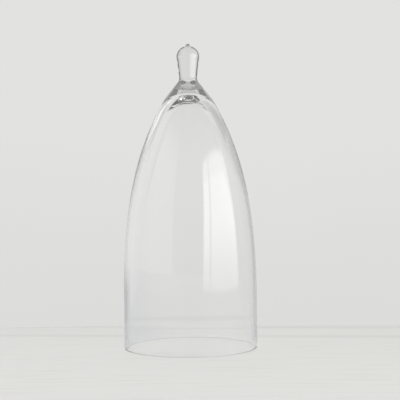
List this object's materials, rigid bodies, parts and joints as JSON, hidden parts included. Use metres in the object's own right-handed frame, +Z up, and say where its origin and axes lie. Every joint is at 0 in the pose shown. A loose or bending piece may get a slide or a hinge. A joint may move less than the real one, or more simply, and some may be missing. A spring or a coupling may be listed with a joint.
{
  "type": "bell jar dome",
  "caption": "Tall clear blown-glass bell, open below on a flat ground rim, tapering to a solid crown and a club-shaped hand knob, for covering a displayed object.",
  "frame": {"origin": "centre of the ground rim's face, on the bell's axis", "axes": "+Z up along the bell's axis from the rim to the knob; -Y towards the picture's camera, +X to the picture's right"},
  "size_m": [0.17, 0.17, 0.3885],
  "materials": {
    "clear_glass": "polished"
  },
  "bodies": {
    "root": {"dome_shell": "clear_glass", "crown_boss": "clear_glass", "knob": "clear_glass"}
  },
  "joints": []
}
